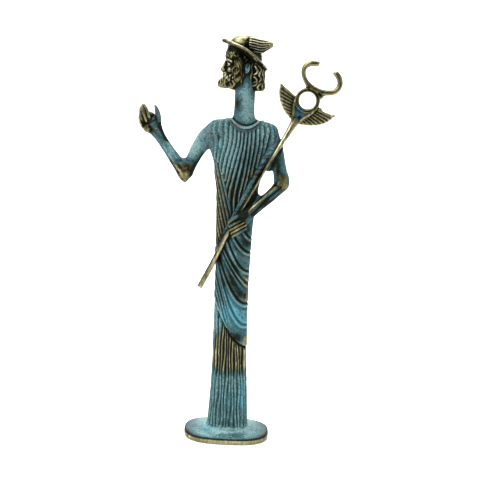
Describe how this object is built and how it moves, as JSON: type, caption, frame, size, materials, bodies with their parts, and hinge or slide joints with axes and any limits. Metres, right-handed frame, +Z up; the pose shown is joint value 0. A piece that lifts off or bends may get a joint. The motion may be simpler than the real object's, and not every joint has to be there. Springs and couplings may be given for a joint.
{
  "type": "bronze messenger god figure",
  "caption": "Slender cast bronze messenger god on an oval base, robed and bearded, in a winged hat, with a raised hand and a herald's staff held across the body.",
  "frame": {"origin": "centre of the oval base's underside, on the surface that the figure stands on", "axes": "+Z up, -Y towards the viewer whom the body faces, +X to that viewer's right, where the staff's head is"},
  "size_m": [0.13, 0.0396, 0.27],
  "materials": {
    "patinated_bronze": "satin verdigris patina, rubbed to bare metal on the raised forms and dark in the grooves"
  },
  "bodies": {
    "root": {"mercury_figure": "patinated_bronze"}
  },
  "joints": []
}
